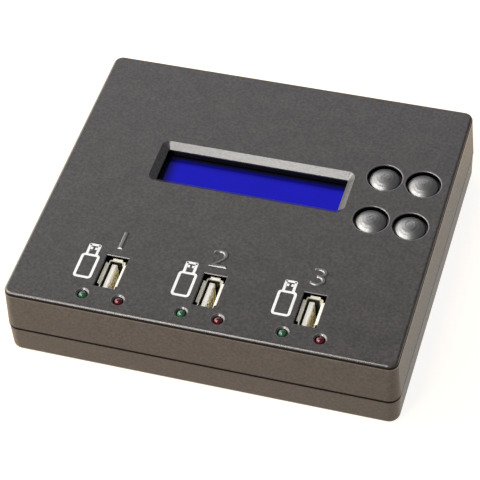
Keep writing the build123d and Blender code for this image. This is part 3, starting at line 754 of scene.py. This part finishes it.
class DUPLICATOR_OT_keys(bpy.types.Operator):
    """Domed push keys with a faint moulded mark"""

    bl_idname = "duplicator.keys"
    bl_label = "Keys"

    def execute(self, context):
        sizes = context.scene.duplicator_sizes
        radius = sizes.key_radius
        rise = sizes.key_dome
        rim = case_top - sizes.key_sink
        ball = (radius * radius + rise * rise) / (2 * rise)
        ball_middle = rim + rise - ball
        dome_share = 0.97
        dome_angle = asin(radius / ball) * dome_share
        dome_steps = 14
        soft = 0.25 * MM
        flange_top = case_top - 2.5 * MM
        flange_low = flange_top - 0.8 * MM
        fillet = 0.1 * MM
        stem = 2.2 * MM
        sunk = 0.03 * MM
        for key in KEYS:
            coat = key_finish(key, context.scene.duplicator_colours.key)
            low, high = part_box(f"{key}_key")
            middle = (low + high) / 2
            flange = (high.x - low.x) / 2
            outline = []
            for step in range(dome_steps + 1):
                turn = dome_angle * step / dome_steps
                outline.append((ball * sin(turn), ball_middle + ball * cos(turn)))
            outline += bend(radius - soft, rim - soft * 0.6, soft, 45, 0, 4)
            outline += [(radius, flange_top + fillet), (radius + fillet, flange_top)]
            outline += [(flange, flange_top), (flange, flange_low), (stem, flange_low)]
            outline += [(stem, low.z), (0.0, low.z)]
            cap = lathe(outline, middle, steps=72)
            body = f"{key}_button"
            node = f"{key}_key"
            add_piece(f"{key}_cap", cap, coat, body, stands_for=(node,), crease=40.0)
            mark = self.mark(key, sizes.key_mark)
            for vert in mark.verts:
                away = vert.co.x**2 + vert.co.y**2
                vert.co.z += ball_middle + sqrt(ball * ball - away) - sunk
            bmesh.ops.translate(mark, verts=mark.verts[:], vec=(middle.x, middle.y, 0.0))
            piece = add_piece(f"{key}_mark", mark, coat, body, crease=50.0)
            thick = piece.modifiers.new("raised", "SOLIDIFY")
            thick.thickness = sizes.key_mark_rise + sunk
            thick.offset = 1.0
        return {"FINISHED"}

    def mark(self, key, width):
        """Flat mark: an open triangle that points the key's way, or a ring for the enter key."""
        shape = bmesh.new()
        is_ring = key == "enter"
        corners = 32 if is_ring else 3
        bmesh.ops.create_circle(shape, cap_ends=True, segments=corners, radius=width / 2)
        if not is_ring:
            round_corners(shape, width / 12, segments=4)
            bmesh.ops.subdivide_edges(shape, edges=shape.edges[:], cuts=2)
        hollow_out(shape, width / 9)
        turn = Matrix.Rotation(radians(TURNS[key]), 3, "Z")
        bmesh.ops.rotate(shape, cent=(0, 0, 0), matrix=turn, verts=shape.verts[:])
        return shape


class DUPLICATOR_OT_display(bpy.types.Operator):
    """Backlit display and its black surround"""

    bl_idname = "duplicator.display"
    bl_label = "Display"

    def execute(self, context):
        tones = context.scene.duplicator_colours
        coat_nodes(lit_display(tones.display, context.scene.duplicator_sizes), "display_glass")
        # The surround is near-black partly as its own black plastic and partly as painted shade
        # under the window's walls.
        black = plastic("display_black", screen(5, 5, 6), rough=(0.12, 0.18), bump=0.02)
        coat_nodes(black, "display_surround")
        frame_black = metal("display_frame_black", screen(40, 40, 42), rough=(0.4, 0.5))
        coat_nodes(frame_black, "display_frame")
        coat_nodes(plastic("light_guide", screen(215, 215, 205)), "display_backlight")
        coat_nodes(board_finish("display_board", tones.board), "display_board")
        coat_nodes(plastic("black_plastic", screen(24, 24, 24)), "display_header")
        coat_nodes(metal("screw_steel_display", screen(190, 188, 182)), "display_screws")
        return {"FINISHED"}


class DUPLICATOR_OT_sockets(bpy.types.Operator):
    """Upright sockets: plated shells, ivory tongues and gold contacts"""

    bl_idname = "duplicator.sockets"
    bl_label = "Sockets"

    def execute(self, context):
        sizes = context.scene.duplicator_sizes
        tones = context.scene.duplicator_colours
        ivory = plastic(
            "socket_plastic",
            tones.socket_tongue,
            clouds=0.02,
            mottle=0.02,
            rough=(0.35, 0.45),
            index=1.8,
            milky=(0.4, 2.5 * MM),
        )
        gold = metal("contact_gold", tones.contact, stain=0.5, rough=(0.25, 0.4), metallic=0.15)
        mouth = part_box("usb_shell_1")[1].z
        lip_height = 0.5 * MM
        lip_start = 2.7 * MM
        for port in PORTS:
            steel = socket_metal(port, tones.socket_steel, mouth)
            shell = cover_node(f"usb_shell_{port}", steel, f"socket_shell_{port}")
            for vert in shell.data.vertices:
                away = vert.co.x - socket_middles[port].x
                if vert.co.z > mouth - lip_height and abs(away) > lip_start:
                    vert.co.x += sizes.lip_spread * (1 if away > 0 else -1)
            coat_nodes(ivory, f"usb_insulator_{port}")
            coat_nodes(gold, f"usb_contacts_{port}")
        return {"FINISHED"}


class DUPLICATOR_OT_lamps(bpy.types.Operator):
    """Round signal lamps"""

    bl_idname = "duplicator.lamps"
    bl_label = "Signal lamps"

    def execute(self, context):
        tones = context.scene.duplicator_colours
        radius = context.scene.duplicator_sizes.lamp_radius
        flange = 1.0 * MM
        for tint, tone in (("green", tones.green_lamp), ("red", tones.red_lamp)):
            slot = f"lamp_{tint}"
            coat = lamp_lens(slot, tone)
            for port in PORTS:
                node = f"{tint}_lamp_{port}"
                low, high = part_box(node)
                wide = (high.x - low.x) / 2
                outline = [(0.0, high.z)]
                outline += bend(0.0, high.z - radius, radius, 84, 0, 12)
                outline += [(radius, low.z + flange), (wide, low.z + flange)]
                outline += [(wide, low.z), (0.0, low.z)]
                lens = lathe(outline, (low + high) / 2, steps=48)
                add_piece(f"{tint}_lens_{port}", lens, coat, stands_for=(node,), crease=40.0)
        return {"FINISHED"}


class DUPLICATOR_OT_numbers(bpy.types.Operator):
    """Raised numbers behind the sockets"""

    bl_idname = "duplicator.numbers"
    bl_label = "Raised numbers"

    def execute(self, context):
        sizes = context.scene.duplicator_sizes
        widening = 1.27
        to_left = 0.5 * MM
        for port in PORTS:
            shape = self.letter(context, str(port))
            highest = max(vert.co.y for vert in shape.verts)
            lowest = min(vert.co.y for vert in shape.verts)
            tallest = max(vert.co.z for vert in shape.verts)
            share = sizes.number_height / (highest - lowest)
            for vert in shape.verts:
                vert.co.x *= share * widening
                vert.co.y = (vert.co.y - lowest) * share
                vert.co.z *= sizes.number_rise / tallest
            middle = socket_middles[port]
            foot = (middle.x - to_left, middle.y + sizes.number_gap, case_top)
            coat = coats["case_edges"]
            add_piece(f"number_{port}", settle(shape, foot), coat)
        return {"FINISHED"}

    def letter(self, context, body):
        """Chamfered solid of a letter, in its font's own units."""
        curve = bpy.data.curves.new("letter", "FONT")
        curve.body = body
        curve.align_x = "CENTER"
        curve.extrude = 0.006
        curve.bevel_depth = 0.032
        curve.bevel_resolution = 0
        curve.offset = -0.022
        curve.resolution_u = 6
        text = link("letter", curve)
        context.view_layer.update()
        mesh = bpy.data.meshes.new_from_object(text)
        bpy.data.objects.remove(text)
        shape = bmesh.new()
        shape.from_mesh(mesh)
        bpy.data.meshes.remove(mesh)
        same_spot = 0.00001
        bmesh.ops.remove_doubles(shape, verts=shape.verts[:], dist=same_spot)
        return shape


class DUPLICATOR_OT_signs(bpy.types.Operator):
    """Printed memory stick beside each socket"""

    bl_idname = "duplicator.signs"
    bl_label = "Printed signs"

    def execute(self, context):
        sizes = context.scene.duplicator_sizes
        coat = plastic("sign_white", context.scene.duplicator_colours.sign, rough=(0.5, 0.6))
        wide = sizes.sign_width
        tall = sizes.sign_length
        line = sizes.sign_line
        plug = tall * 0.3
        plug_wide = wide * 0.66
        hole_side = wide * 0.13
        behind_middle = 2.9 * MM
        for port in PORTS:
            middle = socket_middles[port]
            x = middle.x - sizes.sign_offset
            y = middle.y + behind_middle
            end = y + tall / 2

            def plate(width, depth, corner, stroke, side, along):
                place = (x + side, along, case_top)
                return rounded_plate(width, depth, corner, stroke, place, sizes.ink)

            body = plate(wide, tall - plug, wide * 0.2, line, 0.0, y - plug / 2)
            neck = plate(plug_wide, plug + line, line * 0.3, line, 0.0, end - (plug + line) / 2)
            self.cut_off(neck, end - plug)
            holes = [
                plate(line, line * 1.1, line * 0.1, 0, side * hole_side, end - plug * 0.45)
                for side in (-1, 1)
            ]
            add_piece(f"stick_sign_{port}", gather([body, neck, *holes]), coat)
        return {"FINISHED"}

    def cut_off(self, shape, y):
        """Take off what lies in front of a line, and close the ends."""
        cut = bmesh.ops.bisect_plane(
            shape,
            geom=shape.verts[:] + shape.edges[:] + shape.faces[:],
            plane_co=(0, y, 0),
            plane_no=(0, 1, 0),
            clear_inner=True,
        )
        rims = [part for part in cut["geom_cut"] if isinstance(part, bmesh.types.BMEdge)]
        bmesh.ops.holes_fill(shape, edges=rims)
        bmesh.ops.recalc_face_normals(shape, faces=shape.faces[:])


class DUPLICATOR_OT_underside(bpy.types.Operator):
    """Rubber feet, and case screws in their round wells"""

    bl_idname = "duplicator.underside"
    bl_label = "Feet and screws"

    def execute(self, context):
        sizes = context.scene.duplicator_sizes
        low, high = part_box("case_screws")
        reach = (high - low) / 2
        middle = (high + low) / 2
        hexagon = 2.8 * MM
        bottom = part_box("bottom_cover")[0].z
        wells = []
        screws = []
        for right in (-1, 1):
            for back in (-1, 1):
                x = middle.x + right * (reach.x - hexagon)
                y = middle.y + back * (reach.y - hexagon * cos(pi / 6))
                wells.append(self.well(sizes, bottom, low.z, (x, y)))
                screws.append(self.screw(sizes, low.z, high.z, (x, y, 0.0)))
        add_piece("screw_wells", gather(wells), coats["case_plastic"])
        steel = metal("screw_black", screen(60, 60, 62), rough=(0.35, 0.5))
        whole = gather(screws)
        add_piece("case_screw_set", whole, steel, stands_for=("case_screws",))
        tone = context.scene.duplicator_colours.rubber
        rubber = plastic("foot_rubber", tone, specks=0.1, rough=(0.6, 0.75), specular=0.3)
        for corner in CORNERS:
            self.foot(corner, rubber)
        return {"FINISHED"}

    def foot(self, corner, rubber):
        """Round foot with a soft lower edge."""
        node = f"foot_{corner}"
        low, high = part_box(node)
        radius = (high.x - low.x) / 2
        soft = (high.z - low.z) * 0.45
        outline = [(0.0, high.z), (radius, high.z), (radius, low.z + soft)]
        outline += bend(radius - soft, low.z + soft, soft, 0, -90, 6)
        outline.append((0.0, low.z))
        pad = lathe(outline, (low + high) / 2, steps=64)
        add_piece(f"pad_{corner}", pad, rubber, stands_for=(node,))

    def well(self, sizes, bottom, head, middle):
        """Round lining of a screw's well, with a rounded mouth."""
        inner = sizes.screw_well_radius
        soft = 0.4 * MM
        margin = 0.2 * MM
        proud = 0.01 * MM
        above_head = 0.05 * MM
        outer = inner + soft + margin
        top = head + sizes.screw_head_height + above_head
        outline = [(outer, bottom - proud), (outer, top), (inner, top)]
        outline += bend(inner + soft, bottom - proud + soft, soft, 180, 270, 6)
        return lathe(outline, middle, steps=64, loop=True)

    def screw(self, sizes, low, high, middle):
        """Pan head screw, point up, with a cross-shaped recess."""
        wide = sizes.screw_head_radius
        tall = sizes.screw_head_height
        thin = wide * 0.52
        flat = wide * 0.62
        soft = wide - flat
        outline = [(flat, low)]
        for turn in (0.4, 0.8, 1.2, 1.5):
            outline.append((flat + soft * sin(turn), low + soft * (1 - cos(turn))))
        outline += [(wide, low + tall), (thin, low + tall), (thin, high - thin), (0.0, high)]
        shape = turned_skin(outline, steps=48)
        rim = [edge for edge in shape.edges if edge.is_boundary]
        long = flat * 0.85
        slim = flat * 0.22
        trip = []
        for quarter in range(4):
            turn = -quarter * pi / 2
            for x, y in ((slim, long), (slim, slim), (long, slim)):
                trip.append((x * cos(turn) - y * sin(turn), x * sin(turn) + y * cos(turn)))
        cross = [shape.verts.new((x, y, low)) for x, y in trip]
        sides = [shape.edges.new(pair) for pair in zip(cross, cross[1:] + cross[:1])]
        bmesh.ops.triangle_fill(shape, use_beauty=True, edges=rim + sides)
        floor = new_verts(bmesh.ops.extrude_edge_only(shape, edges=sides))
        bmesh.ops.translate(shape, verts=floor, vec=(0, 0, tall * 0.6))
        bmesh.ops.scale(shape, vec=(0.8, 0.8, 1.0), verts=floor)
        open_edges = [edge for edge in shape.edges if edge.is_boundary]
        bmesh.ops.holes_fill(shape, edges=open_edges)
        return settle(shape, middle)


class DUPLICATOR_OT_inner_parts(bpy.types.Operator):
    """Finishes of the boards and of what they carry"""

    bl_idname = "duplicator.inner_parts"
    bl_label = "Inner parts"

    def execute(self, context):
        board = board_finish("board_green", context.scene.duplicator_colours.board)
        coat_nodes(board, "main_board")
        steel = metal("screw_steel", screen(200, 198, 190))
        coat_nodes(steel, "board_screws", "power_jack_pin", "power_jack_spring", "crystal")
        chip = plastic("chip_black", screen(34, 34, 36), specks=0.1, rough=(0.5, 0.6))
        coat_nodes(chip, "controller_chip", "memory_chip")
        can = metal("can_aluminium", screen(205, 207, 210), rough=(0.3, 0.45))
        coat_nodes(can, "capacitors")
        coat_nodes(plastic("coil_grey", screen(70, 70, 72), rough=(0.6, 0.7)), "inductor")
        switch = plastic("switch_black", screen(30, 30, 32), rough=(0.4, 0.5))
        for key in KEYS:
            coat_nodes(switch, f"{key}_switch", f"{key}_plunger")
        black = coats["black_plastic"]
        coat_nodes(black, "power_jack_housing")
        for port in PORTS:
            coat_nodes(black, f"green_spacer_{port}", f"red_spacer_{port}")
        return {"FINISHED"}


class DUPLICATOR_OT_stage(bpy.types.Operator):
    """Pale table, soft light and camera"""

    bl_idname = "duplicator.stage"
    bl_label = "Stage"

    def execute(self, context):
        scene = context.scene
        stage = scene.duplicator_stage
        scene.view_settings.view_transform = "Standard"
        self.table(stage)
        self.world(scene, stage)
        warm = (1.0, 0.975, 0.94)
        cool = (0.97, 0.96, 1.0)
        self.softbox("left_softbox", stage.left_light, warm, (0.5, 0.5), (-70.0, 45.0))
        self.softbox("front_softbox", stage.front_light, warm, (0.25, 0.8), (-22.0, 50.0))
        self.softbox("back_softbox", stage.back_light, cool, (1.1, 0.5), (-155.0, 38.0))
        self.camera(scene, stage)
        return {"FINISHED"}

    def table(self, stage):
        """Round table, white to the camera and cream in reflections, that keeps the shadow."""
        reach = 4.0
        below_feet = 0.05 * MM
        white_seen = 0.9
        white_mirrored = 0.77
        shape = bmesh.new()
        bmesh.ops.create_circle(shape, cap_ends=True, segments=64, radius=reach)
        bmesh.ops.translate(shape, verts=shape.verts[:], vec=(0, 0, -below_feet))
        mesh = bpy.data.meshes.new("table")
        shape.to_mesh(mesh)
        shape.free()
        material, tree, shader = start_material("table_white")
        rays = tree.nodes.new("ShaderNodeLightPath").outputs
        direct = calculate(tree, "MAXIMUM", rays["Is Camera Ray"], rays["Is Transmission Ray"])
        seen = calculate(tree, "MULTIPLY", direct, white_seen)
        mirrored = calculate(tree, "MULTIPLY", rays["Is Glossy Ray"], white_mirrored)
        grain = noise(tree, place_in(tree), scale=30.0)
        cream = (1.0, 0.96, 0.89, 1.0)
        values = {
            "Base Color": (*stage.floor, 1.0),
            "Roughness": spread(tree, grain, 0.3, 0.7, 0.85, 0.95),
            "Specular IOR Level": 0.0,
            "Emission Color": mix_colours(tree, direct, cream, WHITE),
            "Emission Strength": calculate(tree, "MAXIMUM", seen, mirrored),
        }
        fill(tree, shader, values)
        mesh.materials.append(material)
        floor = link("table", mesh)

    def world(self, scene, stage):
        """Even light, stronger and warmer from the far left."""
        world = bpy.data.worlds.new("studio")
        world.use_nodes = True
        scene.world = world
        tree = world.node_tree
        _, x, _, _ = coordinates(tree, "Generated")
        full, none = -0.9, -0.4
        from_left = spread(tree, x, full, none, 1.0, 0.0, soft=True)
        level = spread(tree, x, full, none, stage.glow, stage.sky, soft=True)
        tint = mix_colours(tree, from_left, (0.92, 0.96, 1.0, 1.0), (1.0, 0.93, 0.85, 1.0))
        fill(tree, tree.nodes["Background"], {"Strength": level, "Color": tint})

    def way_out(self, turn, climb):
        """Direction from the object, round from the front and up."""
        return Vector((sin(turn) * cos(climb), -cos(turn) * cos(climb), sin(climb)))

    def softbox(self, name, power, tint, size, turns):
        """Area light a metre away. The turns are the way round to it and up, in degrees."""
        light = bpy.data.lights.new(name, "AREA")
        light.shape = "RECTANGLE"
        light.size, light.size_y = size
        light.energy = power
        light.color = tint
        way = self.way_out(*map(radians, turns))
        turned = way.to_track_quat("Z", "Y").to_matrix().to_4x4()
        link(name, light).matrix_world = Matrix.Translation(way) @ turned

    def camera(self, scene, stage):
        """Camera at the photograph's place."""
        away = self.way_out(stage.azimuth, stage.elevation)
        right = -away.cross(Vector((0, 0, 1))).normalized()
        upward = away.cross(right)
        across = cos(stage.roll) * right + sin(stage.roll) * upward
        over = cos(stage.roll) * upward - sin(stage.roll) * right
        camera = bpy.data.cameras.new("camera")
        camera.sensor_width = 36.0
        camera.lens = stage.lens
        camera.clip_end = 20.0
        eye = link("camera", camera)
        spot = away * stage.distance + across * stage.aim_right + over * stage.aim_up
        turned = Matrix((across, over, away)).transposed().to_4x4()
        eye.matrix_world = Matrix.Translation(spot) @ turned
        scene.camera = eye


STEPS = (
    DUPLICATOR_OT_case,
    DUPLICATOR_OT_keys,
    DUPLICATOR_OT_display,
    DUPLICATOR_OT_sockets,
    DUPLICATOR_OT_lamps,
    DUPLICATOR_OT_numbers,
    DUPLICATOR_OT_signs,
    DUPLICATOR_OT_underside,
    DUPLICATOR_OT_inner_parts,
    DUPLICATOR_OT_stage,
)


class DUPLICATOR_PT_panel(bpy.types.Panel):
    """Panel that lists the steps"""

    bl_label = "Duplicator"
    bl_space_type = "VIEW_3D"
    bl_region_type = "UI"
    bl_category = "Duplicator"

    def draw(self, context):
        for step in STEPS:
            self.layout.operator(step.bl_idname)


CLASSES = (DuplicatorSizes, DuplicatorColours, DuplicatorStage, *STEPS, DUPLICATOR_PT_panel)


def register():
    for one in CLASSES:
        bpy.utils.register_class(one)
    bpy.types.Scene.duplicator_sizes = PointerProperty(type=DuplicatorSizes)
    bpy.types.Scene.duplicator_colours = PointerProperty(type=DuplicatorColours)
    bpy.types.Scene.duplicator_stage = PointerProperty(type=DuplicatorStage)


def unregister():
    del bpy.types.Scene.duplicator_stage
    del bpy.types.Scene.duplicator_colours
    del bpy.types.Scene.duplicator_sizes
    for one in reversed(CLASSES):
        bpy.utils.unregister_class(one)


def main():
    """Build every piece and the stage."""
    register()
    bpy.ops.duplicator.case()
    bpy.ops.duplicator.keys()
    bpy.ops.duplicator.display()
    bpy.ops.duplicator.sockets()
    bpy.ops.duplicator.lamps()
    bpy.ops.duplicator.numbers()
    bpy.ops.duplicator.signs()
    bpy.ops.duplicator.underside()
    bpy.ops.duplicator.inner_parts()
    bpy.ops.duplicator.stage()


if __name__ == "__main__":
    main()
